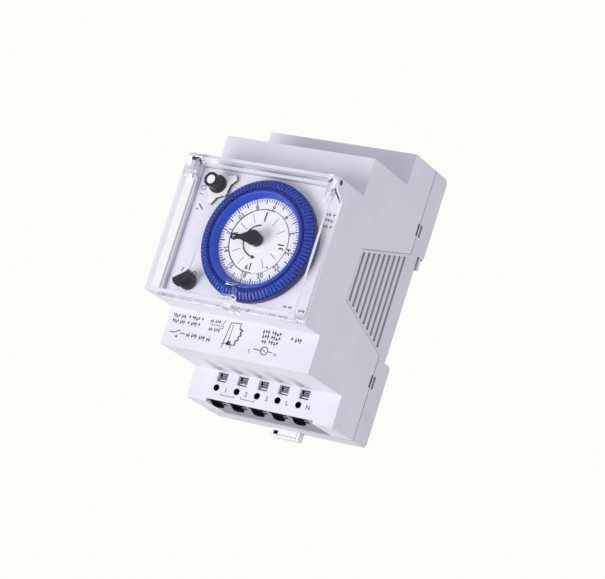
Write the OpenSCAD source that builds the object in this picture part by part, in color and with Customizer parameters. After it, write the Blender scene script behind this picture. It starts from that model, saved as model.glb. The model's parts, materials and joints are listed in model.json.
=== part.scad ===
// Analogue 24-hour time switch for a 35 mm mounting rail.
// Origin: centre of the rail seat. +X right seen from the front, +Y towards the wall, +Z up.

/* [Case] */
// Width across the rail (three 18 mm modules)
body_w = 54; // [52:0.5:56]
// Height of the terminal part of the case
body_h = 90; // [88:0.5:92]
// Height of the printed middle step
step_h = 69.4; // [68.5:0.1:70]
// Height of the front that shows through a distribution board's window
window_h = 45; // [44.5:0.1:45.5]
// Thickness of the case walls
wall = 1.6; // [1.4:0.05:1.7]
// Back face, behind the rail seat
back_y = 4.1; // [3.9:0.1:4.4]
// Parting line of the two shells, in front of the rail seat
split_d = 4.8; // [4.6:0.1:5.2]
// Terminal face, in front of the rail seat
terminal_d = 19.5; // [19:0.1:20]
// Printed step, in front of the rail seat
step_d = 42.5; // [42:0.1:43]
// Mouth of the front shell, in front of the rail seat
rim_d = 53.1; // [52.9:0.1:53.2]
// Front of the clear cover, in front of the rail seat
cover_d = 60; // [59.9:0.1:60.4]

/* [Rail] */
// Height of the mounting rail
rail_h = 35; // [35:0.1:35.2]

/* [Terminals] */
// Number of terminals
terminals = 5; // [3:1:5]
// Distance from one terminal to the next
terminal_pitch = 7.6; // [7.4:0.1:7.8]
// Radius of a wire entry
wire_r = 1.9; // [1.5:0.1:2]
// Radius of a test hole
test_r = 1.1; // [0.8:0.05:1.15]

/* [Dial] */
// Sideways place of the dial's axis
dial_x = 3; // [2.5:0.1:3.2]
// Outer radius of the programme ring
ring_r = 19.4; // [19.2:0.1:19.5]
// Number of tappets, one for each quarter of an hour
tappets = 96; // [96:24:96]

/* [Gears] */
// Teeth of the dial wheel
dial_teeth = 60; // [60:1:60]
// Teeth of the idler's pinion
idler_pinion_teeth = 10; // [10:1:10]
// Teeth of the idler's wheel
idler_teeth = 48; // [48:1:48]
// Teeth of the minute pinion
minute_pinion_teeth = 12; // [12:1:12]
// Teeth of the minute wheel
minute_teeth = 60; // [60:1:60]
// Teeth of the motor's pinion
motor_teeth = 12; // [12:1:12]

/* [Hidden] */

$fn = 48;
run = 0.05;          // radial clearance of a running fit
half_w = body_w / 2;
half_h = body_h / 2;
half_step = step_h / 2;
half_win = window_h / 2;
inner_w = body_w - 2 * wall;

// Depth stations, all measured from the rail seat, negative towards the front
split_y = -split_d;
term_y = -terminal_d;
step_y = -step_d;
rim_y = -rim_d;
cover_y = -cover_d;
panel_y = -50;
panel_t = 1.4;
plate_y = -45.6;
plate_t = 1.4;
back_plate_y = -35.8;
back_plate_t = 1.2;
board_y = -22.4;
board_t = 1.6;

// Wing of the rear shell on each side of the case
wing_d = 33.9;
wing_z0 = 16.8;
wing_z1 = 8.3;
wing_grooves = 9;
groove_pitch = 3.05;

// Hinge of the cover
hinge_y = -57.1;
hinge_z = 21.3;
pin_r = 0.8;
cover_t = 1.4;
lug_t = 1.4;
lug_in = half_w - lug_t - 0.25;

// Rail seat
seat_hi = rail_h / 2 + 0.3;
seat_lo = -rail_h / 2 - 0.5;
catch_x = -0.5;
catch_w = 10.5;
catch_flange = 0.8;
spring_z = -33;
spring_len = 9.9;

// Terminals
first_x = -2.1 - (terminals - 1) * terminal_pitch / 2;
function terminal_x(i) = first_x + i * terminal_pitch;
wire_y = -15.6;
floor_z = -42.4;
lip_z = -44;
slope_x0 = -19.8;
slope_x1 = 19.8;
slope_end = -13.5;
test_z = -40.2;
window_shift = 1.1;
window_size = [3.6, 3];
window_z = -36.6;

// Gear train: pitch radii are half of module times teeth
dial_module = 0.3;
minute_module = 0.35;
motor_module = 0.3;
idler_dist = minute_module * (minute_pinion_teeth + idler_teeth) / 2;
motor_dist = motor_module * (minute_teeth + motor_teeth) / 2;
idler_angle = 135;
motor_angle = -45;
idler_x = dial_x + idler_dist * cos(idler_angle);
idler_z = idler_dist * sin(idler_angle);
motor_x = dial_x + motor_dist * cos(motor_angle);
motor_z = motor_dist * sin(motor_angle);
arbor_r = 0.9;
tube_r = 3;
face_r = 10.25;
dial_gear_y = -49.4;
idler_y = -43.4;
minute_y = -40.4;

// Controls on the dial panel
override_x = -17.6;
override_z = 15.6;
selector_x = -17.6;
selector_z = -16;
contact_z = -4;
finger_len = 7.6;

screw_spots = [[-22.6, -18.4], [22.6, -18.4], [-22.6, 18.4], [22.6, 18.4]];
pillar_spots = [[19.5, 14.8], [19.5, -14.8], [-8.5, 18.3], [-8, -18.2]];
pillar_r = 1.6;
standoff_spots = [[-21.5, -12], [22, -11.2], [-21.5, 12], [22, 11]];

// ---------- helpers ----------

// Children drawn in XY stand upright in XZ at depth y, and extrude towards the front
module facing(y) {
    translate([0, y, 0]) rotate([90, 0, 0]) children();
}

// A round bar along Y from y (rear) to y - h (front)
module bar(x, z, y, h, r) {
    translate([x, y, z]) rotate([90, 0, 0]) cylinder(h = h, r = r);
}

// A round bar along X
module cross_bar(x, y, z, w, r) {
    translate([x, y, z]) rotate([0, 90, 0]) cylinder(h = w, r = r);
}

// Children drawn in the YZ plane, extruded along X from x by w
module profile_x(x, w) {
    translate([x, 0, 0]) rotate([90, 0, 90]) linear_extrude(w) children();
}

// A box from its low corner to its high corner
module block(lo, hi) {
    translate(lo) cube([hi[0] - lo[0], hi[1] - lo[1], hi[2] - lo[2]]);
}

// Half outline of the stepped case, in depth and height, wall w inside the outside
module stepped_outline(w, rear, front) {
    polygon([
        [rear, w - half_h], [term_y + w, w - half_h],
        [term_y + w, w - half_step], [step_y + w, w - half_step],
        [step_y + w, w - half_win], [front, w - half_win],
        [front, half_win - w], [step_y + w, half_win - w],
        [step_y + w, half_step - w], [term_y + w, half_step - w],
        [term_y + w, half_h - w], [rear, half_h - w]
    ]);
}

// Involute angle of a pressure angle, in degrees
function involute(a) = tan(a) * 180 / PI - a;

// Angle of a tooth flank from the tooth's middle, at radius r
function flank(r, rp, rb, half, pa) =
    half + involute(pa) - (r > rb ? involute(acos(rb / r)) : 0);

// Outline of a spur gear with a tooth at angle phase
module gear2d(m, teeth, phase) {
    pa = 25;
    rp = m * teeth / 2;
    rb = rp * cos(pa);
    ra = rp + 0.75 * m;
    rf = rp - 1.05 * m;
    half = 90 / teeth - 0.07 * m / rp * 180 / PI;
    radii = [rf, max(rb, rf + 0.05), rp, ra];
    polygon([
        for (i = [0:teeth - 1], s = [-1, 1], k = [0:3])
            let(r = s < 0 ? radii[k] : radii[3 - k],
                a = phase + i * 360 / teeth + s * flank(r, rp, rb, half, pa))
                [r * cos(a), r * sin(a)]
    ]);
}

// Phase of the second gear that meshes with a first gear, whose tooth is at phase_a
function mesh_phase(direction, phase_a, teeth_a, teeth_b) =
    direction + 180 + 180 / teeth_b + (direction - phase_a) * teeth_a / teeth_b;

// ---------- case ----------

module wing_outline(gap) {
    polygon([
        [split_y + 0.01, -wing_z0 - gap], [-wing_d - gap, -wing_z1 - gap],
        [-wing_d - gap, wing_z1 + gap], [split_y + 0.01, wing_z0 + gap]
    ]);
}

// Ear of the front shell that carries the cover's hinge pin
module hinge_lug(x) {
    difference() {
        profile_x(x, lug_t) {
            intersection() {
                union() {
                    polygon([
                        [rim_y + 0.01, hinge_z - 5.1], [hinge_y - 1.2, hinge_z - 2.3],
                        [hinge_y, half_win], [rim_y + 0.01, half_win]
                    ]);
                    translate([hinge_y, hinge_z]) circle(r = 2.3);
                }
                translate([hinge_y - 5, hinge_z - 6]) square([12, half_win - hinge_z + 6]);
            }
        }
        cross_bar(x - 1, hinge_y, hinge_z, lug_t + 2, pin_r + run);
    }
}

// Cut that slopes the bottom face where the wires enter
module wire_slope() {
    profile_x(slope_x0, slope_x1 - slope_x0) polygon([
        [term_y - 1, -half_h - 1], [term_y - 1, lip_z], [term_y, lip_z],
        [slope_end, -half_h], [slope_end, -half_h - 1]
    ]);
}

// Screwdriver channel that fades out along the ledge above a terminal's window
module guide_groove(x) {
    translate([x, term_y - 13, -half_step - 2.36])
        rotate([-86.6, 0, 0]) cylinder(h = 13, r = 2.4);
}

module front_housing() {
    color("whitesmoke") difference() {
        union() {
            difference() {
                profile_x(-half_w, body_w) stepped_outline(0, split_y, rim_y);
                profile_x(-inner_w / 2, inner_w) stepped_outline(wall, split_y + 1, rim_y - 1);
            }
            // thick floor under the terminals
            profile_x(-inner_w / 2 - 0.1, inner_w + 0.2) polygon([
                [term_y + 0.5, -half_h + 0.5], [term_y + 0.5, floor_z],
                [-12, floor_z], [-8, -half_h + wall + 0.05], [-8, -half_h + 0.5]
            ]);
            // bosses that hold the panel and the movement
            for (p = screw_spots) {
                s = p[0] > 0 ? 1 : -1;
                t = p[1] > 0 ? 1 : -1;
                bar(p[0], p[1], -47, 3, 2.3);
                block([s > 0 ? p[0] : -inner_w / 2 - 0.2, panel_y, p[1] - 1],
                      [s > 0 ? inner_w / 2 + 0.2 : p[0], -47, p[1] + 1]);
                block([p[0] - 1, panel_y, t > 0 ? p[1] : -half_win + 0.3],
                      [p[0] + 1, -47, t > 0 ? half_win - 0.3 : p[1]]);
            }
            for (x = [-half_w, half_w - lug_t]) hinge_lug(x);
        }
        for (s = [-1, 1]) {
            profile_x(s * half_w - wall - 0.5, 2 * wall + 1) wing_outline(0.12);
        }
        wire_slope();
        for (i = [0:terminals - 1]) {
            translate([terminal_x(i), wire_y, -half_h - 1]) cylinder(h = 4, r = wire_r);
            translate([terminal_x(i) + 3.3, wire_y - 1, -half_h - 1]) cylinder(h = 2.2, r = 0.75);
            block([terminal_x(i) - 2.4, term_y + 0.5, -half_h - 1],
                  [terminal_x(i) + 4.4, term_y + 1.5, -42.9]);
            bar(terminal_x(i), test_z, term_y + wall + 0.2, wall + 1, test_r);
            x = terminal_x(i) + window_shift;
            block([x - window_size[0] / 2, term_y - 1, window_z - window_size[1] / 2],
                  [x + window_size[0] / 2, term_y + wall + 1, window_z + window_size[1] / 2]);
            guide_groove(x);
        }
        for (p = screw_spots) bar(p[0], p[1], -46, 3, 0.9);
        // marks left by the snap hooks of the rear shell
        for (s = [-1, 1], z = [25, -25.5]) {
            block([s * half_w - 0.5, split_y - 0.9, z - 2], [s * half_w + 0.5, split_y + 1, z + 2]);
        }
    }
}

module rear_outline() {
    polygon([
        [split_y, -half_h], [back_y - 1.2, -half_h], [back_y, -half_h + 1.2],
        [back_y, seat_lo - 1.1], [back_y - 1.1, seat_lo], [-0.2, seat_lo], [-0.2, -15.8],
        [0, -15.6], [0, 13.2], [-0.2, 13.4], [-0.2, seat_hi], [1.3, seat_hi],
        [1.3, 13.7], [2.6, 13.7], [2.6, 16.7], [3.3, 17.1],
        [back_y, 18.6], [back_y, half_h - 1.2], [back_y - 1.2, half_h], [split_y, half_h]
    ]);
}

module rear_base() {
    floor_y = back_y - wall;
    color("gainsboro") difference() {
        union() {
            difference() {
                profile_x(-half_w, body_w) rear_outline();
                profile_x(-inner_w / 2, inner_w) {
                    polygon([
                        [split_y - 1, wall - half_h], [floor_y, wall - half_h], [floor_y, -21.5],
                        [-wall, -21.5], [-wall, 21], [floor_y, 21],
                        [floor_y, half_h - wall], [split_y - 1, half_h - wall]
                    ]);
                }
            }
            for (x = [-half_w, half_w - wall + 0.1]) {
                difference() {
                    profile_x(x, wall - 0.1) wing_outline(0);
                    for (k = [0:wing_grooves - 1]) {
                        y = -wing_d + 1.7 + k * groove_pitch;
                        h = wing_z1 + (wing_z0 - wing_z1) * (y + wing_d) / (wing_d - split_d) - 0.9;
                        block([x < 0 ? x - 1 : x + wall - 0.95, y - 0.65, -h],
                              [x < 0 ? x + 0.85 : x + wall + 1, y + 0.65, h]);
                    }
                }
            }
            // trunk that holds the rail catch
            block([catch_x - catch_w / 2 - 2.4, -1.2, -half_h + 0.5],
                  [catch_x + catch_w / 2 + 2.4, floor_y + 0.2, -21]);
        }
        // channel of the rail catch, open to the back, the bottom and the seat
        block([catch_x - catch_w / 2 - 0.15, 0.35, -half_h - 1],
              [catch_x + catch_w / 2 + 0.15, back_y + 1, seat_lo + 1]);
        block([catch_x - catch_w / 2 - catch_flange - 0.15, 1.25, -half_h - 1],
              [catch_x + catch_w / 2 + catch_flange + 0.15, 2.55, seat_lo + 1]);
        // relief beside the fixed hook
        cross_bar(-half_w - 1, 2.75, 17.2, body_w + 2, 0.6);
        // slots of the snap hooks
        for (s = [-1, 1], z = [25, -25.5]) {
            block([s * half_w - 1, split_y + 0.9, z - 2], [s * half_w + 1, split_y + 2.1, z + 2]);
        }
        // label field and ejector marks on the back
        block([-19, back_y - 0.25, 23.5], [19, back_y + 1, 38.5]);
        for (s = [-1, 1], z = [-40.5, -24, 21.5, 41]) bar(s * 22, z, back_y + 1, 1.15, 1.6);
    }
    // seat of the catch's spring
    color("gainsboro") block([catch_x - 1.2, 0.2, spring_z - 1.5], [catch_x + 1.2, 3.1, spring_z]);
}

module dial_panel() {
    color("white") difference() {
        block([-inner_w / 2 + 0.1, panel_y - panel_t, -half_win + wall + 0.1],
              [inner_w / 2 - 0.1, panel_y, half_win - wall - 0.1]);
        bar(dial_x, 0, panel_y + 1, panel_t + 2, 13.2);
        bar(override_x, override_z, panel_y + 1, panel_t + 2, 1.5 + run);
        bar(selector_x, selector_z, panel_y + 1, panel_t + 2, 1.5 + run);
    }
}

// ---------- clear cover ----------

module cover() {
    inner = half_w - cover_t;
    rear = rim_y - 0.2;
    front_in = cover_y + cover_t;
    color([0.85, 0.92, 1, 0.4]) difference() {
        union() {
            difference() {
                block([-half_w, cover_y, -half_win], [half_w, rear, half_win]);
                block([-inner, front_in, -half_win + cover_t], [inner, rear + 1, half_win - cover_t]);
                // room for the hinge lugs and for the turn of the top wall
                for (s = [-1, 1]) {
                    x = s > 0 ? lug_in : -half_w - 1;
                    profile_x(x, half_w + 1 - lug_in) {
                        polygon([
                            [rear + 1, hinge_z - 5.9], [hinge_y - 1.6, hinge_z - 2.9],
                            [hinge_y - 2.6, hinge_z], [hinge_y - 2.6, half_win + 1],
                            [rear + 1, half_win + 1]
                        ]);
                    }
                }
                block([-half_w - 1, hinge_y + 2.8, 10 + hinge_z / 3], [half_w + 1, rear + 1, half_win + 1]);
            }
            // ears that hold the hinge pins inside the lugs
            for (s = [-1, 1]) {
                x = s > 0 ? lug_in - 1.6 : -lug_in;
                profile_x(x, 1.6) {
                    polygon([
                        [cover_y + 0.5, half_win - 0.2], [cover_y + 0.5, 14],
                        [front_in, 13.5], [hinge_y + 1.4, hinge_z - 1],
                        [hinge_y + 1.4, half_win - 0.2]
                    ]);
                }
            }
            // latch tongue under the lower edge
            block([dial_x - 1.9, cover_y, -half_win - 0.9],
                  [dial_x + 1.9, rear - 0.6, -half_win + 0.5]);
        }
        for (s = [-1, 1]) cross_bar(s > 0 ? lug_in - 2.6 : -lug_in - 1, hinge_y, hinge_z, 3.6, pin_r);
    }
}

// Clear finger nose on the cover's lower edge, with a hole for a sealing wire
module cover_nose() {
    color([0.85, 0.92, 1, 0.6]) difference() {
        facing(cover_y) linear_extrude(1.9) polygon([
            [dial_x - 3.2, -half_win], [dial_x + 3.2, -half_win],
            [dial_x + 2.1, -15.6], [dial_x - 2.1, -15.6]
        ]);
        cross_bar(dial_x - 6, cover_y - 1, -20.2, 12, 0.5);
    }
}

module hinge_pins() {
    color("silver") for (s = [-1, 1]) {
        cross_bar(s > 0 ? lug_in - 1.5 : -half_w + 0.1, hinge_y, hinge_z, half_w - lug_in + 1.4, pin_r);
    }
}

// ---------- movement plates ----------

module movement_front_plate() {
    color("lightgray") difference() {
        union() {
            block([-24, plate_y - plate_t, -20.4], [24, plate_y, 20.4]);
            bar(dial_x, 0, plate_y, 7.2, tube_r);
            bar(dial_x, 0, plate_y, 1.7, tube_r + 1);
        }
        bar(dial_x, 0, plate_y + 1, 10, arbor_r + run);
        bar(idler_x, idler_z, plate_y + 1, 4, 0.8 + run);
        bar(override_x, override_z, plate_y + 1, 4, 1.5 + run);
        bar(selector_x, selector_z, plate_y + 1, 4, 1.5 + run);
        for (p = screw_spots) bar(p[0], p[1], plate_y + 1, 4, 1.1);
    }
}

module movement_back_plate() {
    color("lightgray") difference() {
        block([-24, back_plate_y - back_plate_t, -20.4], [24, back_plate_y, 20.4]);
        bar(dial_x, 0, back_plate_y + 1, 4, 0.5 + run);
        bar(idler_x, idler_z, back_plate_y + 1, 4, 0.5 + run);
        bar(motor_x, motor_z, back_plate_y + 1, 4, 1.2);
        for (p = pillar_spots) bar(p[0], p[1], back_plate_y + 1, 4, 0.9);
        for (s = [-1, 1]) bar(motor_x + s * 8, motor_z + s * 8, back_plate_y + 1, 4, 0.8);
    }
}

module plate_pillars() {
    color("goldenrod") for (p = pillar_spots) difference() {
        bar(p[0], p[1], back_plate_y - back_plate_t, -plate_y + back_plate_y - back_plate_t, pillar_r);
        bar(p[0], p[1], back_plate_y - back_plate_t + 1, 4.5, 0.9);
    }
}

// Cross-head screw whose shank points to the front
module screw(x, z, y, head_r, shank_r, shank) {
    difference() {
        union() {
            bar(x, z, y + 1.2, 1.2, head_r);
            bar(x, z, y, shank, shank_r);
        }
        block([x - head_r * 0.7, y + 0.6, z - 0.25], [x + head_r * 0.7, y + 2, z + 0.25]);
        block([x - 0.25, y + 0.6, z - head_r * 0.7], [x + 0.25, y + 2, z + head_r * 0.7]);
    }
}

module plate_screws() {
    color("silver") for (p = screw_spots) screw(p[0], p[1], plate_y, 1.9, 0.9, 3.2);
}

module pillar_screws() {
    color("silver") for (p = pillar_spots) screw(p[0], p[1], back_plate_y, 1.7, 0.9, 4.2);
}

// ---------- dial ----------

module centre_face() {
    color("white") difference() {
        union() {
            bar(dial_x, 0, -52.7, 0.6, face_r);
            bar(dial_x, 0, -53.2, 0.5, 3.2);
        }
        bar(dial_x, 0, -52, 0.801, tube_r);
        bar(dial_x, 0, -52, 3, arbor_r + 0.3);
    }
}

module dial_wheel() {
    color("ivory") difference() {
        union() {
            bar(dial_x, 0, -47.5, 4.1, 5);
            facing(dial_gear_y) translate([dial_x, 0]) linear_extrude(1.2) {
                gear2d(dial_module, dial_teeth, 0);
            }
        }
        bar(dial_x, 0, -40, 20, tube_r + run);
    }
}

module dial_plate() {
    color("ivory") difference() {
        bar(dial_x, 0, -51.6, 0.8, 15);
        bar(dial_x, 0, -50, 4, tube_r + run);
    }
}

module ring_carrier() {
    color("mediumblue") translate([dial_x, 0, 0]) rotate([90, 0, 0]) rotate_extrude($fn = 96) {
        polygon([
            [15, 51.6], [ring_r, 51.6], [ring_r, 53.9], [19.25, 53.9], [19.25, 53.7],
            [15.7, 53.7], [15.7, 55.3], [15.3, 55.7], [14.9, 55.6], [13.8, 53.3],
            [13.8, 52.4], [15, 52.4]
        ]);
    }
}

module dial_scale() {
    color("white") difference() {
        bar(dial_x, 0, -52.4, 0.6, 13.8);
        bar(dial_x, 0, -52, 2, face_r + 0.15);
    }
}

// One tappet standing on the ring, its middle at angle a
module tappet(a) {
    color("blue") translate([dial_x, 0, 0]) rotate([0, -a, 0]) translate([0, 0, -0.41]) {
        linear_extrude(0.82) polygon([
            [16.75, -53.74], [19.15, -53.74], [19.15, -54.5], [17.3, -55.5], [16.75, -55.5]
        ]);
    }
}

loose_tappets = 4;
tappet_step = 360 / tappets;
loose_start = 90 - 1.5 * tappet_step;

module tappet_set() {
    for (k = [loose_tappets:tappets - 1]) tappet(loose_start + k * tappet_step);
}

// ---------- gear train ----------

idler_phase = mesh_phase(idler_angle, 0, minute_pinion_teeth, idler_teeth);
idler_pinion_phase = mesh_phase(idler_angle, 0, dial_teeth, idler_pinion_teeth);
motor_phase = mesh_phase(motor_angle, 0, minute_teeth, motor_teeth);

module minute_arbor() {
    color("silver") {
        bar(dial_x, 0, -38, 18, arbor_r);
        bar(dial_x, 0, back_plate_y - 0.1, 2.2, 0.5);
        facing(-42.9) translate([dial_x, 0]) linear_extrude(1.8) {
            gear2d(minute_module, minute_pinion_teeth, 0);
        }
    }
}

module minute_wheel() {
    color("gold") difference() {
        union() {
            facing(minute_y) translate([dial_x, 0]) linear_extrude(1) {
                gear2d(motor_module, minute_teeth, 0);
            }
            bar(dial_x, 0, -38.6, 2.8, 2.2);
        }
        bar(dial_x, 0, -36, 10, arbor_r);
        for (a = [0:60:300]) bar(dial_x + 5.5 * cos(a), 5.5 * sin(a), minute_y + 1, 3, 1.5);
    }
}

module minute_knob() {
    color("dimgray") difference() {
        union() {
            facing(-54.1) translate([dial_x, 0]) linear_extrude(2.3) knurl(2.1, 16);
            bar(dial_x, 0, -56.4, 0.8, 1.3);
            facing(-57.2) translate([dial_x, 0]) linear_extrude(0.9) knurl(2.05, 16);
        }
        bar(dial_x, 0, -50, 6, arbor_r);
    }
}

// Ribbed outline of a small turning knob
module knurl(r, n) {
    difference() {
        circle(r = r);
        for (i = [0:n - 1]) {
            rotate(i * 360 / n) translate([r * 1.06, 0]) circle(r = r * 0.1, $fn = 6);
        }
    }
}

hand_angle = 186;

module minute_hand() {
    color("dimgray") facing(-56.45) translate([dial_x, 0]) rotate(hand_angle) linear_extrude(0.7) {
        difference() {
            union() {
                circle(r = 2.4);
                polygon([[0, -2.1], [2.6, -1.5], [4.4, -0.8], [6.4, -0.75],
                         [6.4, 0.75], [4.4, 0.8], [2.6, 1.5], [0, 2.1]]);
                translate([6.6, 0]) circle(r = 1.1);
            }
            circle(r = 1.3);
            translate([6.8, 0]) circle(r = 0.5);
        }
    }
}

module idler_arbor() {
    color("silver") {
        bar(idler_x, idler_z, -38, 11.2, 0.8);
        bar(idler_x, idler_z, back_plate_y - 0.1, 2.2, 0.5);
        facing(-49.2) translate([idler_x, idler_z]) linear_extrude(1.6) {
            gear2d(dial_module, idler_pinion_teeth, idler_pinion_phase);
        }
    }
}

module idler_wheel() {
    color("gold") difference() {
        union() {
            facing(idler_y) translate([idler_x, idler_z]) linear_extrude(1) {
                gear2d(minute_module, idler_teeth, idler_phase);
            }
            bar(idler_x, idler_z, -42.2, 1.2, 2);
        }
        bar(idler_x, idler_z, -40, 6, 0.8);
        for (a = [30:60:330]) {
            bar(idler_x + 4.9 * cos(a), idler_z + 4.9 * sin(a), idler_y + 1, 3, 1.4);
        }
    }
}

module motor_pinion() {
    color("gold") {
        bar(motor_x, motor_z, -34.6, 7.4, 0.8);
        facing(-39.9) translate([motor_x, motor_z]) linear_extrude(2.1) {
            gear2d(motor_module, motor_teeth, motor_phase);
        }
    }
}

module motor_can() {
    color("silver") difference() {
        union() {
            bar(motor_x, motor_z, -26.8, 9, 9);
            facing(back_plate_y + 1) translate([motor_x, motor_z]) rotate(45) linear_extrude(1) {
                difference() {
                    square([27, 5], center = true);
                    for (s = [-1, 1]) translate([s * 8 * sqrt(2), 0]) circle(r = 0.8);
                }
            }
        }
        bar(motor_x, motor_z, -27.8, 7, 8.2);
        bar(motor_x, motor_z, -34, 3, 0.8 + run);
    }
}

module motor_coil() {
    color("peru") difference() {
        bar(motor_x, motor_z, -27.8, 6.5, 8.2);
        bar(motor_x, motor_z, -27, 9, 3.4);
    }
}

module motor_screws() {
    color("silver") for (s = [-1, 1]) {
        screw(motor_x + s * 8, motor_z + s * 8, back_plate_y + 1, 1.5, 0.8, 2.1);
    }
}

// ---------- override lever and selector ----------

// Lobed outline with two stop arms, its nose towards the dial
module lever_outline() {
    difference() {
        union() {
            circle(r = 4.1);
            for (s = [-1, 1]) rotate(s * 66) {
                polygon([[0, -2.5], [5.2, -1.2], [6.4, -0.8], [6.4, 0.8], [5.2, 1.2], [0, 2.5]]);
            }
            polygon([[0, -2.6], [4.6, -0.7], [4.6, 0.7], [0, 2.6]]);
        }
        circle(r = 1.5);
    }
}

// Children drawn in XY lie on the panel, turned towards the dial, from y to the front
module on_override(y) {
    facing(y) translate([override_x, override_z]) rotate(atan2(-override_z, dial_x - override_x)) children();
}

module override_lever() {
    color("white") on_override(-52.2) linear_extrude(0.45) lever_outline();
}

module override_plate() {
    color("dimgray") on_override(-51.65) linear_extrude(0.55) lever_outline();
}

module override_knob() {
    color("dimgray") difference() {
        union() {
            bar(override_x, override_z, -52.65, 4.85, 2.35);
            bar(override_x, override_z, -52.65, 0.8, 2.9);
        }
        bar(override_x, override_z, -50, 5.5, 1.5);
        bar(override_x, override_z, -57, 2, 1.45);
    }
}

module override_inlay() {
    color("white") bar(override_x, override_z, -57, 0.4, 1.45);
}

module override_shaft() {
    color("silver") bar(override_x, override_z, -40, 15.3, 1.5);
}

// Finger that swings the contact arm
module override_cam() {
    color("ivory") facing(-42) translate([override_x, override_z]) linear_extrude(1.6) difference() {
        union() {
            circle(r = 3);
            polygon([[-1.3, 0], [-0.6, -finger_len], [0.6, -finger_len], [1.3, 0]]);
            translate([0, -finger_len]) circle(r = 0.8);
        }
        circle(r = 1.5);
    }
}

module selector_knob() {
    color("dimgray") difference() {
        union() {
            bar(selector_x, selector_z, -51.65, 1.9, 2.7);
            facing(-53.4) translate([selector_x, selector_z]) rotate(35) linear_extrude(3) {
                intersection() {
                    square([6.6, 2.2], center = true);
                    circle(r = 3.1);
                }
            }
        }
        bar(selector_x, selector_z, -50, 2.6, 1.5);
    }
}

module selector_shaft() {
    color("silver") bar(selector_x, selector_z, -41, 11.6, 1.5);
}

module selector_cam() {
    color("ivory") facing(-42) translate([selector_x, selector_z]) linear_extrude(1.6) difference() {
        union() {
            circle(r = 3.2);
            rotate(90) polygon([[2, -1.5], [4.4, 0], [2, 1.5]]);
        }
        circle(r = 1.5);
    }
}

// Forked arm that carries the moving contacts
module contact_arm() {
    len = override_z - finger_len - contact_z;
    color("goldenrod") facing(-42.2) translate([override_x, contact_z]) linear_extrude(1.2) {
        difference() {
            union() {
                circle(r = 1.9);
                translate([-0.8, 0]) square([1.6, len - 2]);
                translate([-1.9, len - 3.2]) square([3.8, 4.4]);
            }
            circle(r = 0.8 + run);
            translate([-0.95, len - 1.6]) square([1.9, 4]);
        }
    }
}

module moving_contacts() {
    color("silver") for (s = [-1, 1]) {
        translate([override_x + s * 0.8, -42.8, 0.5])
            rotate([0, s * 90, 0]) cylinder(h = 0.5, r = 0.7, $fn = 24);
    }
}

module contact_pivot() {
    color("silver") bar(override_x, contact_z, back_plate_y - back_plate_t - 0.8, 6, 0.8);
}

module fixed_contacts() {
    color("goldenrod") for (s = [-1, 1]) {
        x = override_x + s * 2.9;
        block([min(x, x + s * 0.6), -44, -0.7], [max(x, x + s * 0.6), -37.8, 1.7]);
        translate([x, -42.8, 0.5]) rotate([0, -s * 90, 0]) cylinder(h = 0.5, r = 0.7, $fn = 24);
    }
}

module switch_base() {
    y = back_plate_y - back_plate_t;
    color("darkslategray") difference() {
        block([override_x - 5.2, y - 0.8, contact_z - 3], [override_x + 5.2, y, 9]);
        bar(override_x, contact_z, y + 1, 3, 0.8);
    }
}

// ---------- terminals ----------

module terminal_carrier() {
    color("gainsboro") {
        x0 = terminal_x(0) - terminal_pitch / 2;
        for (i = [0:terminals]) {
            x = x0 + i * terminal_pitch;
            block([x - 0.5, -17.7, -41.2], [x + 0.5, -7, -33.4]);
        }
        block([x0, -7, -41.2], [x0 + terminals * terminal_pitch, -6, -33.4]);
    }
}

module terminal_cages() {
    color("goldenrod") for (i = [0:terminals - 1]) {
        x = terminal_x(i);
        difference() {
            block([x - 2.7, -17.2, -41.1], [x + 2.9, -8.4, -34.6]);
            block([x - 2.2, -18, -42], [x + 2.4, -9, -35.2]);
        }
    }
}

module terminal_springs() {
    color("silver") for (i = [0:terminals - 1]) profile_x(terminal_x(i) - 1.9, 4) difference() {
        polygon([[-9.05, -40.6], [-9.05, -35.25], [-12.6, -35.25], [-17.3, -37.3], [-13.6, -40.2]]);
        polygon([[-9.45, -41], [-9.45, -35.65], [-12.5, -35.65], [-16.6, -37.42], [-13.2, -40.2],
                 [-12.9, -41]]);
    }
}

module terminal_bars() {
    color("goldenrod") for (i = [0:terminals - 1]) {
        x = terminal_x(i);
        block([x - 1, -10.6, -34.6], [x + 1, -9.8, -27]);
        block([x - 1, board_y, -27.8], [x + 1, -9.8, -27]);
    }
}

// ---------- electronics ----------

module circuit_board() {
    color("seagreen") block([-24, board_y - board_t, -31], [24, board_y, 31]);
}

module board_standoffs() {
    color("ivory") for (p = standoff_spots) {
        bar(p[0], p[1], board_y - board_t, -back_plate_y + board_y - board_t, 2);
    }
}

module standby_battery() {
    color("steelblue") {
        translate([-12, board_y, 4]) rotate([-90, 0, 0]) cylinder(h = 6, r = 7.8);
        translate([-12, board_y + 6, 4]) rotate([-90, 0, 0]) cylinder(h = 0.6, r = 6.2);
    }
}

module capacitors() {
    color("khaki") {
        block([4, board_y, 8], [20, board_y + 11, 15]);
        for (x = [2, 12]) translate([x, board_y, 24]) rotate([-90, 0, 0]) cylinder(h = 11, r = 3.2);
    }
}

module control_chip() {
    color("dimgray") block([6, board_y, -10], [15, board_y + 1.8, -5]);
}

module quartz_crystal() {
    color("silver") translate([-8, board_y + 1.2, -14]) rotate([0, 90, 0]) cylinder(h = 7, r = 1.2);
}

module board_parts() {
    color("sienna") {
        for (k = [0:3]) translate([4 + k * 4, board_y + 1.1, -20]) cylinder(h = 6, r = 1.1, $fn = 24);
        for (k = [0:1]) block([-20 + k * 7, board_y, 18], [-15 + k * 7, board_y + 3, 23]);
    }
}

// ---------- rail catch ----------

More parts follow.
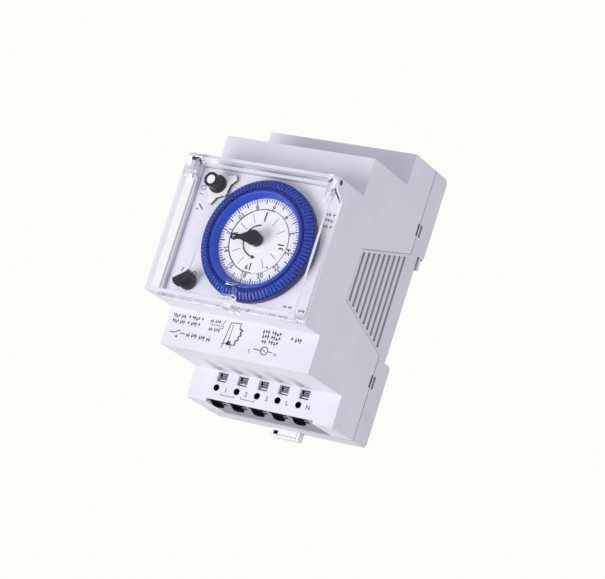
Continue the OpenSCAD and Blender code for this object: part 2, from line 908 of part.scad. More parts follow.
module rail_catch() {
    x0 = catch_x - catch_w / 2;
    x1 = catch_x + catch_w / 2;
    color("white") difference() {
        union() {
            profile_x(x0, catch_w) polygon([
                [0.55, -47.9], [3.4, -47.9], [3.4, -17.6], [2.9, -16.2],
                [1.3, -16.2], [1.3, -18.2], [0.55, -18.2]
            ]);
            block([x0 - catch_flange, 1.45, -44.6], [x1 + catch_flange, 2.35, -21.5]);
        }
        // window of the spring and its seat
        block([catch_x - 1.9, 0, spring_z - 1.6], [catch_x + 1.9, 4, spring_z + spring_len + 0.1]);
        // slot for a screwdriver in the tab
        block([x0 + 1, 0, -46.9], [x0 + 2.6, 4, -45.8]);
        block([x0 + 1, 3, -47.3], [x1 - 1, 4, -45.4]);
    }
}

// Coil of round wire along Z: mean radius r, wire radius w, height h over the wire
module coil(r, w, h, turns) {
    sides = 6;
    per_turn = 14;
    last = turns * per_turn;
    points = [
        for (i = [0:last], k = [0:sides - 1])
            let(a = i * 360 / per_turn, b = k * 360 / sides, q = r + w * cos(b))
                [q * cos(a), q * sin(a), w + (h - 2 * w) * i / last + w * sin(b)]
    ];
    walls = [
        for (i = [0:last - 1], k = [0:sides - 1])
            let(j = (k + 1) % sides, c = i * sides, d = c + sides)
                each [[c + k, c + j, d + j], [c + k, d + j, d + k]]
    ];
    caps = [[for (k = [0:sides - 1]) sides - 1 - k], [for (k = [0:sides - 1]) last * sides + k]];
    polyhedron(points, concat(walls, caps), convexity = 6);
}

module catch_spring() {
    color("silver") translate([catch_x, 1.95, spring_z]) coil(1.2, 0.25, spring_len, 6);
}

front_housing();
rear_base();
dial_panel();
cover();
cover_nose();
hinge_pins();
movement_front_plate();
movement_back_plate();
plate_pillars();
plate_screws();
pillar_screws();
centre_face();
dial_wheel();
dial_plate();
ring_carrier();
dial_scale();
tappet_set();
tappet(loose_start);  // tappet_1
tappet(loose_start + tappet_step);  // tappet_2
tappet(loose_start + 2 * tappet_step);  // tappet_3
tappet(loose_start + 3 * tappet_step);  // tappet_4
minute_arbor();
minute_wheel();
minute_knob();
minute_hand();
idler_arbor();
idler_wheel();
motor_pinion();
motor_can();
motor_coil();
motor_screws();
override_lever();
override_plate();
override_knob();
override_inlay();
override_shaft();
override_cam();
selector_knob();
selector_shaft();
selector_cam();
contact_arm();
moving_contacts();
contact_pivot();
fixed_contacts();
switch_base();
terminal_carrier();
terminal_cages();
terminal_springs();
terminal_bars();
circuit_board();
board_standoffs();
standby_battery();
capacitors();
control_chip();
quartz_crystal();
board_parts();
rail_catch();
catch_spring();
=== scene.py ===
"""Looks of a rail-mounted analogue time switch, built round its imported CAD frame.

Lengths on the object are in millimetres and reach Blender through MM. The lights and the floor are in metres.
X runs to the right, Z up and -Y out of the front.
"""
import json
import math

import bmesh
import bpy
from mathutils import Matrix, Vector


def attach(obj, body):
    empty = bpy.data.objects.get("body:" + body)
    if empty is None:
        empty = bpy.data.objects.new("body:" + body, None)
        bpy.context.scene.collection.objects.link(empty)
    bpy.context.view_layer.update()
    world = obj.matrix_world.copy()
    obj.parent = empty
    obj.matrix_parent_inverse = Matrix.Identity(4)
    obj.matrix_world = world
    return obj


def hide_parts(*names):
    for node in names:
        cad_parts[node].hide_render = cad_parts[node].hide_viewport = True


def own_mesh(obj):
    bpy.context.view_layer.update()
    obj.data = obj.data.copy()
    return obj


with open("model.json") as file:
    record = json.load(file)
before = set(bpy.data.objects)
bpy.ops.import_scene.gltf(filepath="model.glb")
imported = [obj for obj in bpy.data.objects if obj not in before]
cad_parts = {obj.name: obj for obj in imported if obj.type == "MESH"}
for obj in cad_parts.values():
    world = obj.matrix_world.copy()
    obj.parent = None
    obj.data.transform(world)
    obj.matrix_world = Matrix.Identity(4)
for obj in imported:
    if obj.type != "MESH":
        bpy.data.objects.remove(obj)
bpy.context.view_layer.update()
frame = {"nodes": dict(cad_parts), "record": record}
nodes = frame["nodes"]
scene = bpy.context.scene

# ---------- places on the case ----------

MM = 0.001
HALF_W, HALF_H = 27.0, 45.0
SPLIT_Y = -4.8          # joint between front shell and rear shell
LABEL_Y = -42.5         # front of the middle step
LEDGE_Z = -34.7         # its lower side
TERM_Y = -19.5          # front of the terminal step
LIP_Z = -44.0           # lower edge of that front, where the bottom's slope starts
SLOPE_END_Y = -13.5
DIAL_X = 3.0
DIAL_TURN = -8.5        # degrees that the programme ring stands turned at rest
TERMINALS = 5
TERM_PITCH = 7.6
ENTRY_Y = -15.6         # axis of the round wire entries
TEST_Z = -40.2          # axis of the round test holes
WINDOW_SHIFT = 1.1      # from a wire entry to the middle of its window


def terminal_x(i):
    """Middle of a terminal's wire entry and test hole."""
    return -17.3 + TERM_PITCH * i


def slope_z(y):
    """Height of the bottom face at depth y: it slopes under the terminals."""
    fall = (y - TERM_Y) / (SLOPE_END_Y - TERM_Y)
    return max(-HALF_H, LIP_Z - fall * (HALF_H + LIP_Z))


def polar(x, z, r, angle):
    """Point at r and angle in degrees round x, z."""
    return (x + r * math.cos(math.radians(angle)), z + r * math.sin(math.radians(angle)))


def on_dial(r, angle):
    return polar(DIAL_X, 0, r, angle)


# ---------- materials ----------

class Graph:
    """A material's node tree with short calls to add and join nodes."""

    def __init__(self, name):
        self.material = bpy.data.materials.new(name)
        self.material.use_nodes = True
        self.tree = self.material.node_tree
        self.shader = self.tree.nodes["Principled BSDF"]
        self.place = self.add("ShaderNodeTexCoord").outputs["Object"]

    def add(self, kind, **props):
        node = self.tree.nodes.new(kind)
        for key, value in props.items():
            setattr(node, key, value)
        return node

    def join(self, source, target):
        self.tree.links.new(source, target)

    def noise(self, size_mm, detail=2.0, stretch=None):
        """Noise with blobs of about size_mm, optionally stretched along one axis."""
        node = self.add("ShaderNodeTexNoise")
        node.inputs["Scale"].default_value = 1.0 / (size_mm * MM)
        node.inputs["Detail"].default_value = detail
        source = self.place
        if stretch:
            mapping = self.add("ShaderNodeMapping")
            mapping.inputs["Scale"].default_value = stretch
            self.join(source, mapping.inputs["Vector"])
            source = mapping.outputs["Vector"]
        self.join(source, node.inputs["Vector"])
        return node.outputs["Fac"]

    def ramp(self, source, low, high, start=0.35, end=0.65):
        """Value that goes from low to high while the source goes from start to end."""
        node = self.add("ShaderNodeMapRange")
        node.inputs["From Min"].default_value = start
        node.inputs["From Max"].default_value = end
        node.inputs["To Min"].default_value = low
        node.inputs["To Max"].default_value = high
        self.join(source, node.inputs["Value"])
        return node.outputs["Result"]

    def tint(self, source, first, second, start=0.35, end=0.65):
        """Colour that goes from first to second while the source goes from start to end."""
        node = self.add("ShaderNodeValToRGB")
        node.color_ramp.elements[0].position = start
        node.color_ramp.elements[1].position = end
        node.color_ramp.elements[0].color = (*first, 1)
        node.color_ramp.elements[1].color = (*second, 1)
        self.join(source, node.inputs["Fac"])
        return node.outputs["Color"]

    def math(self, operation, first, second):
        """Result of a Math node on two sockets or numbers."""
        node = self.add("ShaderNodeMath", operation=operation)
        for value, socket in zip((first, second), node.inputs):
            if isinstance(value, (int, float)):
                socket.default_value = value
            else:
                self.join(value, socket)
        return node.outputs[0]

    def axes(self):
        """X, Y and Z of the shaded point."""
        split = self.add("ShaderNodeSeparateXYZ")
        self.join(self.place, split.inputs[0])
        return tuple(split.outputs)

    def within(self, *limits):
        """1 inside a box of X, Y and Z limits in mm, 0 outside."""
        inside = 1.0
        for place, (low, high) in zip(self.axes(), limits):
            inside = self.math("MULTIPLY", inside, self.math("GREATER_THAN", place, low * MM))
            inside = self.math("MULTIPLY", inside, self.math("LESS_THAN", place, high * MM))
        return inside

    def mix(self, mode="MIX"):
        """A colour mix node's sockets: factor, first colour, second colour and result."""
        node = self.add("ShaderNodeMix", data_type="RGBA", blend_type=mode)
        return node.inputs[0], node.inputs[6], node.inputs[7], node.outputs[2]

    def blend(self, amount, color, other):
        """The source colour, giving way to the other one where the amount rises to 1."""
        factor, first, second, result = self.mix()
        self.join(amount, factor)
        self.join(color, first)
        second.default_value = (*other, 1)
        return result

    def painted_crevice_shade(self, color, depth_mm, darkest):
        """Painted shade: darkens a colour where the surface lies deep between neighbours."""
        near = self.add("ShaderNodeAmbientOcclusion", samples=8)
        near.inputs["Distance"].default_value = depth_mm * MM
        shadow = (darkest, darkest, darkest * 1.06)
        factor, first, second, result = self.mix("MULTIPLY")
        factor.default_value = 1.0
        self.join(color, first)
        self.join(self.tint(near.outputs["AO"], shadow, (1.0, 1.0, 1.0), 0.15, 0.75), second)
        return result

    def bump(self, layers):
        """Stacked bumps: (height output, depth in mm, strength)."""
        normal = None
        for height, depth_mm, strength in layers:
            node = self.add("ShaderNodeBump")
            node.inputs["Distance"].default_value = depth_mm * MM
            node.inputs["Strength"].default_value = strength
            self.join(height, node.inputs["Height"])
            if normal:
                self.join(normal, node.inputs["Normal"])
            normal = node.outputs["Normal"]
        self.join(normal, self.shader.inputs["Normal"])

    def seen(self):
        """1 for rays from the camera and rays that crossed the clear cover, 0 for all others."""
        path = self.add("ShaderNodeLightPath").outputs
        return self.math("MAXIMUM", path["Is Camera Ray"], path["Is Transmission Ray"])

    def set(self, **values):
        """Constants on the shader's own sockets."""
        for key, value in values.items():
            self.shader.inputs[key.replace("_", " ")].default_value = value


def shade(color, factor):
    """A colour made darker or lighter."""
    return tuple(min(1.0, c * factor) for c in color)


def plastic(name, color, rough=0.5, grain=0.35, depth=0.02, mottle=0.03, specular=0.5, crevice_shade=0.0):
    """Moulded plastic: spark-eroded grain, slow colour drift, smears in the gloss, painted shade in crevices
    if wanted.
    """
    g = Graph(name)
    tone = g.tint(g.noise(14, 3), shade(color, 1 - mottle), shade(color, 1 + mottle))
    if crevice_shade:
        tone = g.painted_crevice_shade(tone, crevice_shade, 0.35)
    g.join(tone, g.shader.inputs["Base Color"])
    g.join(g.ramp(g.noise(5, 3, (1, 1, 0.4)), rough - 0.06, rough + 0.06), g.shader.inputs["Roughness"])
    g.bump([(g.noise(6, 2), 0.05, 0.15), (g.noise(grain, 2), depth, 0.5)])
    g.set(Specular_IOR_Level=specular)
    return g.material


def ink(name, color):
    return plastic(name, color, rough=0.6, grain=0.2, depth=0.004, mottle=0.25, specular=0.2)


def metal(name, color, rough=0.3, brush=(1, 1, 1), depth=0.01):
    """Metal with fine brushing, faint stains and a worn gloss."""
    g = Graph(name)
    g.join(g.tint(g.noise(3, 4), shade(color, 0.92), shade(color, 1.08)), g.shader.inputs["Base Color"])
    g.join(g.ramp(g.noise(1.2, 3), rough - 0.08, rough + 0.1), g.shader.inputs["Roughness"])
    g.bump([(g.noise(0.2, 2, brush), depth, 0.4)])
    g.set(Metallic=1.0)
    return g.material


def clear_plastic():
    """Clear moulding. Light that has crossed many walls goes straight on, so its corners stay bright."""
    g = Graph("clear_cover")
    g.join(g.ramp(g.noise(4, 3), 0.015, 0.05), g.shader.inputs["Roughness"])
    g.bump([(g.noise(11, 1), 0.02, 0.04)])
    g.set(Base_Color=(0.97, 0.98, 1.0, 1), Transmission_Weight=1.0, IOR=1.3, Specular_IOR_Level=0.15)
    late = g.math("GREATER_THAN", g.add("ShaderNodeLightPath").outputs["Ray Depth"], 3.5)
    choice = g.add("ShaderNodeMixShader")
    g.join(late, choice.inputs[0])
    g.join(g.shader.outputs[0], choice.inputs[1])
    g.join(g.add("ShaderNodeBsdfTransparent").outputs[0], choice.inputs[2])
    g.join(choice.outputs[0], g.tree.nodes["Material Output"].inputs["Surface"])
    return g.material


def circuit_board():
    """Solder mask with faint tracks under it."""
    g = Graph("solder_mask")
    tracks = g.add("ShaderNodeTexBrick")
    tracks.inputs["Scale"].default_value = 160
    tracks.inputs["Mortar Size"].default_value = 0.03
    tracks.inputs["Color1"].default_value = (0.01, 0.11, 0.045, 1)
    tracks.inputs["Color2"].default_value = (0.012, 0.13, 0.05, 1)
    tracks.inputs["Mortar"].default_value = (0.03, 0.22, 0.09, 1)
    turn = g.add("ShaderNodeMapping")
    turn.inputs["Rotation"].default_value = (math.pi / 2, 0, 0)
    g.join(g.place, turn.inputs["Vector"])
    g.join(turn.outputs["Vector"], tracks.inputs["Vector"])
    g.join(tracks.outputs["Color"], g.shader.inputs["Base Color"])
    g.join(g.ramp(g.noise(3, 2), 0.25, 0.4), g.shader.inputs["Roughness"])
    g.bump([(tracks.outputs["Fac"], 0.03, 0.4), (g.noise(0.6, 2), 0.01, 0.3)])
    return g.material


def winding():
    """Enamelled wire wound round the motor's axis: fine waves along Y."""
    g = Graph("copper_winding")
    wave = g.add("ShaderNodeTexWave", bands_direction="Y")
    wave.inputs["Scale"].default_value = 900
    wave.inputs["Distortion"].default_value = 0.6
    g.join(g.place, wave.inputs["Vector"])
    g.join(g.tint(wave.outputs["Fac"], (0.30, 0.09, 0.03), (0.62, 0.24, 0.09), 0.1, 0.9),
           g.shader.inputs["Base Color"])
    g.bump([(wave.outputs["Fac"], 0.15, 0.8), (g.noise(1, 2), 0.02, 0.3)])
    g.set(Metallic=0.8, Roughness=0.35)
    return g.material


def case_plastic():
    """The light case plastic, darker on the slope under the terminals, with painted shade of the screwdriver
    channels on the ledge above them."""
    g = Graph("case_plastic")
    color = g.tint(g.noise(14, 3), (0.745, 0.745, 0.83), (0.79, 0.79, 0.875))
    x, y = g.axes()[:2]
    # painted shade of the screwdriver channels: darkest close to each terminal window, fading up the ledge
    from_window = g.math("SUBTRACT", x, (terminal_x(0) + WINDOW_SHIFT) * MM)
    aside = g.math("PINGPONG", from_window, TERM_PITCH / 2 * MM)
    across = g.ramp(aside, 1.0, 0.0, 1.2 * MM, 3.0 * MM)
    along = g.ramp(y, 0.0, 1.0, -34 * MM, -21 * MM)
    ledge = g.within((-20, 18), (LABEL_Y + 0.1, TERM_Y - 0.1), (LEDGE_Z - 0.9, LEDGE_Z + 1.2))
    channel_shade = g.math("MULTIPLY", g.math("MULTIPLY", across, along), ledge)
    color = g.blend(channel_shade, color, (0.50, 0.50, 0.58))
    slope = g.within((-19.79, 19.79), (TERM_Y + 0.2, -6.0), (-HALF_H - 0.1, LIP_Z + 1.2))
    g.join(g.blend(slope, color, (0.30, 0.30, 0.37)), g.shader.inputs["Base Color"])
    g.join(g.ramp(g.noise(5, 3, (1, 1, 0.4)), 0.46, 0.58), g.shader.inputs["Roughness"])
    g.bump([(g.noise(6, 2), 0.05, 0.15), (g.noise(0.28, 2), 0.018, 0.5)])
    return g.material


def ring_plastic():
    """Blue of the programme ring: clear and light in the bowl, with painted shade deepening it towards the
    outer rim and in its crevices.
    """
    g = Graph("ring_plastic")
    from_axis = g.add("ShaderNodeVectorMath", operation="SUBTRACT")
    from_axis.inputs[1].default_value = (DIAL_X * MM, 0, 0)
    g.join(g.place, from_axis.inputs[0])
    flat = g.add("ShaderNodeVectorMath", operation="MULTIPLY")
    flat.inputs[1].default_value = (1, 0, 1)
    g.join(from_axis.outputs[0], flat.inputs[0])
    radius = g.add("ShaderNodeVectorMath", operation="LENGTH")
    g.join(flat.outputs[0], radius.inputs[0])
    # painted shade: the blue grows darker from the bowl out to the outer rim
    rim_shade = g.ramp(radius.outputs["Value"], 0.0, 1.0, 15.5 * MM, 19.3 * MM)
    tone = g.tint(rim_shade, (0.001, 0.055, 0.55), (0.001, 0.010, 0.13), 0.05, 0.95)
    g.join(g.painted_crevice_shade(tone, 1.5, 0.35), g.shader.inputs["Base Color"])
    g.join(g.ramp(g.noise(5, 3), 0.28, 0.4), g.shader.inputs["Roughness"])
    g.bump([(g.noise(6, 2), 0.03, 0.15), (g.noise(0.5, 2), 0.01, 0.4)])
    g.set(Specular_IOR_Level=0.25)
    return g.material


# plastics: colour, roughness, size and depth of the grain in mm, mottle, gloss, depth of painted crevice
# shade in mm
# metals: colour, roughness, stretch of the brushing, its depth in mm
LOOKS = {
    "case": case_plastic(),
    # the rear shell gets painted shade in its crevices and the grooves between its ribs
    "case_rear": plastic("rear_plastic", (0.72, 0.72, 0.79), 0.55, 0.28, 0.02, crevice_shade=2.2),
    "panel": plastic("panel_plastic", (0.84, 0.84, 0.92), 0.42, 0.4, 0.012, 0.02),
    "clear": clear_plastic(),
    "steel": metal("turned_steel", (0.56, 0.57, 0.59), 0.28, (1, 6, 1)),
    "brass": metal("stamped_brass", (0.78, 0.56, 0.24), 0.3, (6, 1, 1)),
    "plate": plastic("plate_plastic", (0.40, 0.41, 0.44), 0.5, 0.5),
    "face": plastic("face_plastic", (0.92, 0.92, 0.96), 0.38, 0.5, 0.008, 0.015),
    "gear": plastic("acetal", (0.78, 0.75, 0.66), 0.4, 0.5),
    "ring": ring_plastic(),
    "knob": plastic("knob_plastic", (0.007, 0.006, 0.013), 0.34, 0.25, 0.02, 0.2, 0.14),
    "lever": plastic("lever_plastic", (0.94, 0.94, 0.96), 0.35, 0.4, 0.012, 0.02),
    "copper": winding(),
    "can": metal("plated_can", (0.62, 0.63, 0.64), 0.22, (1, 8, 1), 0.006),
    "board": circuit_board(),
    "battery": plastic("battery_sleeve", (0.03, 0.08, 0.22), 0.3, 0.8, 0.02, 0.1),
    "capacitor": plastic("capacitor_case", (0.55, 0.42, 0.10), 0.35, 0.6, 0.02, 0.08),
    "chip": plastic("chip_package", (0.012, 0.012, 0.013), 0.6, 0.12, 0.02, 0.2),
    "component": plastic("component_body", (0.30, 0.17, 0.08), 0.4, 0.5, 0.02, 0.15),
    "silver": metal("contact_silver", (0.86, 0.85, 0.82), 0.2),
    "catch": plastic("catch_plastic", (0.86, 0.86, 0.90), 0.4, 0.4, 0.012, 0.02),
}

INK = ink("print_ink", (0.02, 0.02, 0.035))
HOUR_INK = ink("hour_print", (0.05, 0.055, 0.11))
GREY_INK = ink("grey_print", (0.11, 0.11, 0.15))
# near-black plastic that paints shade into holes, slots and pockets
SHADE_BLACK = plastic("painted_hole_shade", (0.004, 0.004, 0.007), 0.8, 0.12, 0.02, 0.2, 0.04)
DARK_STEEL = metal("dark_steel", (0.06, 0.06, 0.065), 0.45, (1, 4, 1))
CLAMP = plastic("clamp_plastic", (0.27, 0.27, 0.30), 0.45, 0.4, 0.015, 0.1)
TAPPET = plastic("tappet_plastic", (0.001, 0.045, 0.42), 0.25, 0.5, 0.01, 0.1, 0.2)

TAPPETS = ("tappet_set", "tappet_1", "tappet_2", "tappet_3", "tappet_4")
OWN_LOOKS = {**{name: TAPPET for name in TAPPETS},
             "terminal_cages": DARK_STEEL, "terminal_springs": DARK_STEEL, "hinge_pins": DARK_STEEL}

for part in frame["record"]["subparts"]:
    mesh = nodes[part["node"]].data
    mesh.materials.clear()
    mesh.materials.append(OWN_LOOKS.get(part["node"], LOOKS[part["material_slot"]]))


# ---------- rounded edges on the CAD solids ----------

def welded_group():
    """Joins the split corners of an imported solid, and drops its old corner normals."""
    tree = bpy.data.node_groups.new("welded", "GeometryNodeTree")
    tree.interface.new_socket("Geometry", in_out="INPUT", socket_type="NodeSocketGeometry")
    tree.interface.new_socket("Geometry", in_out="OUTPUT", socket_type="NodeSocketGeometry")
    entry, leave = tree.nodes.new("NodeGroupInput"), tree.nodes.new("NodeGroupOutput")
    merge = tree.nodes.new("GeometryNodeMergeByDistance")
    merge.inputs["Distance"].default_value = 0.002 * MM
    drop = tree.nodes.new("GeometryNodeRemoveAttribute")
    drop.inputs["Name"].default_value = "custom_normal"
    smooth = tree.nodes.new("GeometryNodeSetShadeSmooth")
    chain = [entry, merge, drop, smooth, leave]
    for a, b in zip(chain, chain[1:]):
        tree.links.new(a.outputs[0], b.inputs[0])
    return tree


WELDED = welded_group()


def bevel_edges(obj, width_mm, segments=2):
    bevel = obj.modifiers.new("edges", "BEVEL")
    bevel.width = width_mm * MM
    bevel.segments = segments
    bevel.limit_method = "ANGLE"
    bevel.angle_limit = math.radians(30)
    bevel.miter_outer = "MITER_ARC"


def round_edges(obj, width_mm):
    obj.modifiers.new("welded", "NODES").node_group = WELDED
    bevel_edges(obj, width_mm)
    obj.modifiers.new("normals", "WEIGHTED_NORMAL").weight = 80


EDGE_WIDTHS = {"front_housing": 0.3, "rear_base": 0.2, "dial_panel": 0.15, "rail_catch": 0.25,
               "override_lever": 0.15, "override_knob": 0.2, "selector_knob": 0.3,
               "minute_knob": 0.08, "minute_hand": 0.12, "centre_face": 0.08, "ring_carrier": 0.12,
               **{name: 0.1 for name in TAPPETS}}

for name, width in EDGE_WIDTHS.items():
    round_edges(nodes[name], width)


# ---------- clear cover ----------

NOSE_FOOT_Y = -60.0     # where the finger nose starts to narrow towards its front
NOSE_REACH = 1.9
NOSE_TAPER = 0.34       # share of its width lost at the front
NOSE_DROP = 1.3         # how far its top edge falls there
NOSE_TOP_Z = -18.0


def welded_copy(name):
    part = bpy.data.objects.new("clear_part", nodes[name].data.copy())
    part.data.transform(nodes[name].matrix_world)
    scene.collection.objects.link(part)
    part.modifiers.new("welded", "NODES").node_group = WELDED
    return part


def taper_nose(mesh):
    """Draft of the finger nose: its front is smaller than its foot."""
    for vertex in mesh.vertices:
        draft = min(1.0, max(0.0, (NOSE_FOOT_Y * MM - vertex.co.y) / (NOSE_REACH * MM)))
        vertex.co.x = DIAL_X * MM + (vertex.co.x - DIAL_X * MM) * (1 - NOSE_TAPER * draft)
        if vertex.co.z > NOSE_TOP_Z * MM:
            vertex.co.z -= NOSE_DROP * MM * draft


def make_clear_cover():
    """Cover and finger nose as the one clear moulding that they are, which light shines through."""
    cover, nose = welded_copy("cover"), welded_copy("cover_nose")
    taper_nose(nose.data)
    # a hair into the cover's wall, so that the union meets no faces that just touch
    nose.location.y = 0.02 * MM
    join = cover.modifiers.new("join", "BOOLEAN")
    join.operation, join.solver, join.object = "UNION", "EXACT", nose
    bpy.context.view_layer.update()
    mesh = bpy.data.meshes.new_from_object(cover.evaluated_get(bpy.context.evaluated_depsgraph_get()))
    for part in (cover, nose):
        bpy.data.objects.remove(part)
    mesh.shade_flat()
    obj = bpy.data.objects.new("clear_moulding", mesh)
    scene.collection.objects.link(obj)
    bevel_edges(obj, 0.25, 3)
    obj.visible_shadow = obj.visible_diffuse = False
    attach(obj, "cover")
    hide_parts("cover", "cover_nose")


make_clear_cover()


# ---------- prints ----------

class Print:
    """Ink on a face that looks to the front: thin raised shapes given in mm along X and Z."""

    DEPTH = 0.025
    SUNK = 0.005

    def __init__(self, name, y, body, color):
        self.name, self.y, self.body, self.color = name, y, body, color
        self.bm = bmesh.new()

    def shape(self, points):
        """A flat polygon, in either direction round, raised by the ink's depth."""
        front = [self.bm.verts.new((x * MM, (self.y - self.DEPTH) * MM, z * MM)) for x, z in points]
        back = [self.bm.verts.new((x * MM, (self.y + self.SUNK) * MM, z * MM)) for x, z in points]
        self.bm.faces.new(front)
        self.bm.faces.new(back[::-1])
        for i in range(len(points)):
            j = (i + 1) % len(points)
            self.bm.faces.new((front[j], front[i], back[i], back[j]))

    def line(self, start, end, width):
        a, b = Vector(start), Vector(end)
        side = (b - a).normalized().orthogonal() * width / 2
        self.shape([a + side, a - side, b - side, b + side])

    def path(self, points, width):
        for a, b in zip(points, points[1:]):
            self.line(a, b, width)

    def block(self, x0, z0, x1, z1):
        self.shape([(x0, z0), (x1, z0), (x1, z1), (x0, z1)])

    def disc(self, x, z, r, sides=16):
        self.shape([polar(x, z, r, 360 * i / sides) for i in range(sides)])

    def arc(self, x, z, r, start, end, width, steps=None):
        steps = steps or max(3, int(abs(end - start) / 6))
        turn = [start + (end - start) * i / steps for i in range(steps + 1)]
        for a, b in zip(turn, turn[1:]):
            self.shape([polar(x, z, r + width / 2, a), polar(x, z, r + width / 2, b),
                        polar(x, z, r - width / 2, b), polar(x, z, r - width / 2, a)])

    def glyphs(self, text, x, z, size, turn=0, weight=0.0):
        """Digits or single letters with their middle at x, z."""
        curve = bpy.data.curves.new("glyphs", "FONT")
        curve.body, curve.size, curve.offset = text, size, weight
        curve.align_x, curve.align_y = "CENTER", "CENTER"
        curve.resolution_u = 3
        curve.extrude = self.DEPTH / 2
        holder = bpy.data.objects.new("glyphs", curve)
        mesh = bpy.data.meshes.new_from_object(holder)
        upright = Matrix.Rotation(-math.radians(turn), 4, "Y") @ Matrix.Rotation(math.pi / 2, 4, "X")
        place = Matrix.Translation((x * MM, (self.y - self.DEPTH / 2) * MM, z * MM))
        mesh.transform(place @ upright @ Matrix.Scale(MM, 4))
        self.bm.from_mesh(mesh)
        bpy.data.objects.remove(holder)
        bpy.data.curves.remove(curve)

    def words(self, x0, x1, z, height, lengths):
        """A row of crossed strokes in place of small print: lengths are the words' stroke counts."""
        gap, cut = 0.7, 0.25 * height
        step = (x1 - x0) / (sum(lengths) + gap * (len(lengths) - 1))
        x = x0
        for count in lengths:
            for i in range(count):
                low = z - height / 2 + (cut if (i * 7 + count) % 3 == 1 else 0)
                high = z + height / 2 - (cut if (i * 5 + count) % 4 == 2 else 0)
                bar = (low + high) / 2 + 0.12 * height * ((i + count) % 3 - 1)
                self.block(x + 0.16 * step, low, x + 0.54 * step, high)
                self.block(x + 0.02 * step, bar - 0.15, x + 0.92 * step, bar + 0.15)
                x += step
            x += gap * step

    def done(self):
        bmesh.ops.recalc_face_normals(self.bm, faces=self.bm.faces)
        mesh = bpy.data.meshes.new(self.name)
        self.bm.to_mesh(mesh)
        self.bm.free()
        mesh.materials.append(self.color)
        obj = bpy.data.objects.new(self.name, mesh)
        scene.collection.objects.link(obj)
        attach(obj, self.body)


def print_hour_scale():
    """Quarter-hour scale on the turning annulus: numerals stand with their tops to the axis."""
    p = Print("hour_scale_print", -53.0, "dial", HOUR_INK)
    for quarter in range(96):
        angle = DIAL_TURN + quarter * 3.75
        inner, width = (12.7, 0.24) if quarter % 4 else (11.95 if quarter % 8 else 12.15, 0.36)
        p.line(on_dial(inner, angle), on_dial(13.72, angle), width)
    for hour in range(2, 25, 2):
        angle = DIAL_TURN + hour * 15
        p.glyphs(str(hour), *on_dial(11.25, angle), 2.15, angle + 90, 0.03)
    p.done()


def print_minute_scale():
    """Minute scale and turning arrow on the fixed face."""
    p = Print("minute_scale_print", -53.3, "case", INK)
    for angle in range(0, 360, 30):
        if angle % 90:
            p.line(on_dial(6.3, angle), on_dial(9.2, angle), 0.16)
    p.line(on_dial(6.3, 90), on_dial(9.4, 90), 0.5)
    for angle, digit in ((0, "3"), (-90, "6"), (180, "9")):
        p.line(on_dial(7.0, angle), on_dial(9.3, angle), 0.42)
        p.glyphs(digit, *on_dial(8.7, angle - 8), 2.1, angle + 90, 0.05)
    # arrow: shaft and head
    p.arc(DIAL_X, 0, 5.1, 97, 262, 0.45)
    p.shape([on_dial(4.5, 262), on_dial(5.9, 262), on_dial(5.3, 277)])
    # outer line, thinner at both ends
    p.arc(DIAL_X, 0, 10.1, 75, 120, 0.22, 15)
    p.arc(DIAL_X, 0, 10.1, 120, 235, 0.36, 36)
    p.arc(DIAL_X, 0, 10.1, 235, 275, 0.22, 12)
    p.disc(*on_dial(9.6, -52), 0.3)
    p.done()


def print_panel():
    """Symbols beside the override knob and the selector, and rows of marks by the right edge."""
    p = Print("panel_print", -51.4, "case", GREY_INK)
    # override: a stroke with a dot, a ring with a tick, two ticks above the lever
    p.line((-22.98, 8.94), (-21.23, 7.23), 0.4)
    p.disc(-23.2, 7.2, 0.32)
    p.arc(-23.2, 14.2, 0.75, 0, 360, 0.25, 16)
    p.line((-23.9, 12.2), (-22.7, 12.0), 0.25)
    p.line((-20.4, 19.9), (-19.8, 19.1), 0.3)
    p.line((-18.6, 19.7), (-18.0, 18.9), 0.3)
    # selector: a stroke, a clock and a ring
    p.line((-21.5, -13.1), (-21.1, -11.7), 0.35)
    p.arc(-19.1, -12.8, 0.75, 0, 360, 0.22, 16)
    p.line((-19.1, -12.8), (-19.1, -12.2), 0.2)
    p.line((-19.1, -12.8), (-18.6, -12.8), 0.2)
    p.arc(-16.7, -13.2, 0.7, 0, 360, 0.25, 16)
    for row, lengths in enumerate(((2, 2), (4,), (2, 2))):
        p.words(21.2, 25.2, 12.6 - 1.9 * row, 1.1, lengths)
    p.words(17.2, 20.4, -17.9, 0.9, (2, 2))
    p.words(21.9, 24.2, -18.3, 0.9, (3,))
    p.done()


def draw_ratings(p):
    """Rows of marks at the left of the label, with the symbol of the switch under them."""
    p.words(-25.5, -20.8, -24.9, 1.3, (4, 3))
    p.words(-19.8, -14.4, -24.7, 1.3, (1, 4, 1))
    p.words(-25.3, -20.7, -26.7, 1.3, (4, 3))
    p.words(-19.7, -15.0, -26.6, 1.3, (1, 3, 1))
    p.line((-25.0, -30.3), (-23.5, -30.3), 0.3)
    p.line((-23.5, -30.3), (-21.4, -29.2), 0.3)
    p.line((-21.2, -30.2), (-19.5, -30.2), 0.3)
    p.line((-22.6, -31.1), (-21.9, -31.7), 0.3)
    p.line((-22.6, -31.7), (-21.9, -31.1), 0.3)
    p.words(-18.9, -14.9, -30.3, 1.4, (2, 3))
    p.words(-14.2, -9.9, -30.4, 1.4, (3, 2))


